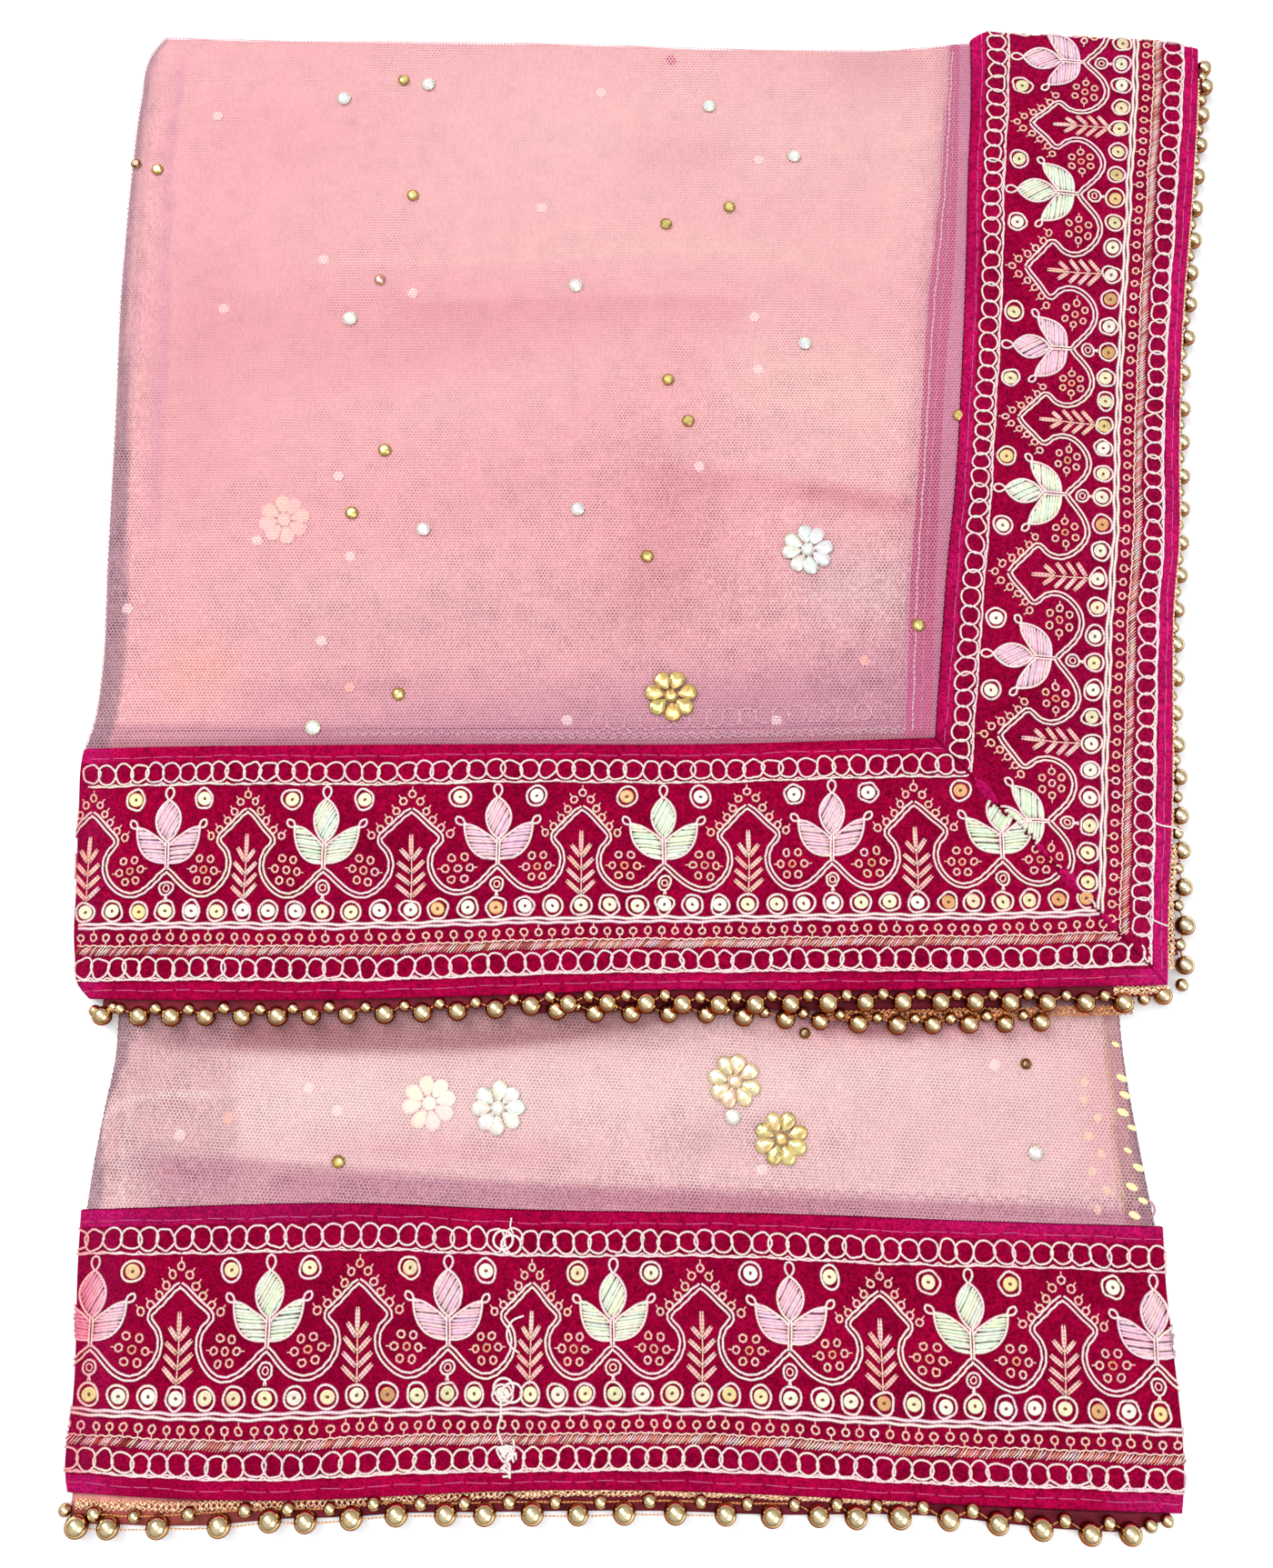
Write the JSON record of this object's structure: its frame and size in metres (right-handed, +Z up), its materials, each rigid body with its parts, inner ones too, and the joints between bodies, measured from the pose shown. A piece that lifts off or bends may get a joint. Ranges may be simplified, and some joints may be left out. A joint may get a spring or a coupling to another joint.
{
  "type": "folded dupatta stole",
  "caption": "Net dupatta stole with wide velvet borders and beaded edging, folded and lying flat, with the lower leaf showing in front of the upper one.",
  "frame": {"origin": "centre of the bounding box, on the surface that the stole lies on", "axes": "+X towards the side border's beads, +Y from the lower leaf's edge to the back fold, +Z up from the surface"},
  "size_m": [0.5008, 0.6514, 0.0147],
  "materials": {
    "net": "fine pink net, several plies showing through one another",
    "velvet": "crimson velvet with a soft pile, embroidered in cream and rose gold thread",
    "tape": "dark maroon woven tape with a gold braid",
    "beads": "polished yellow gold balls",
    "stones": "foil-backed cut stones in gold settings"
  },
  "bodies": {
    "root": {"layers_hidden": "velvet", "net_upper": "net", "net_lower": "net", "border_end_upper": "velvet", "border_side_upper": "velvet", "border_end_lower": "velvet", "tape_end_upper": "tape", "tape_side_upper": "tape", "tape_end_inner": "tape", "tape_end_lower": "tape", "beads_end_upper": "beads", "beads_side_upper": "beads", "beads_end_inner": "beads", "beads_end_lower": "beads", "stone_flower_1": "stones", "stone_flower_2": "stones", "stone_flower_3": "stones", "stone_flower_4": "stones", "stone_flower_5": "stones"}
  },
  "joints": []
}
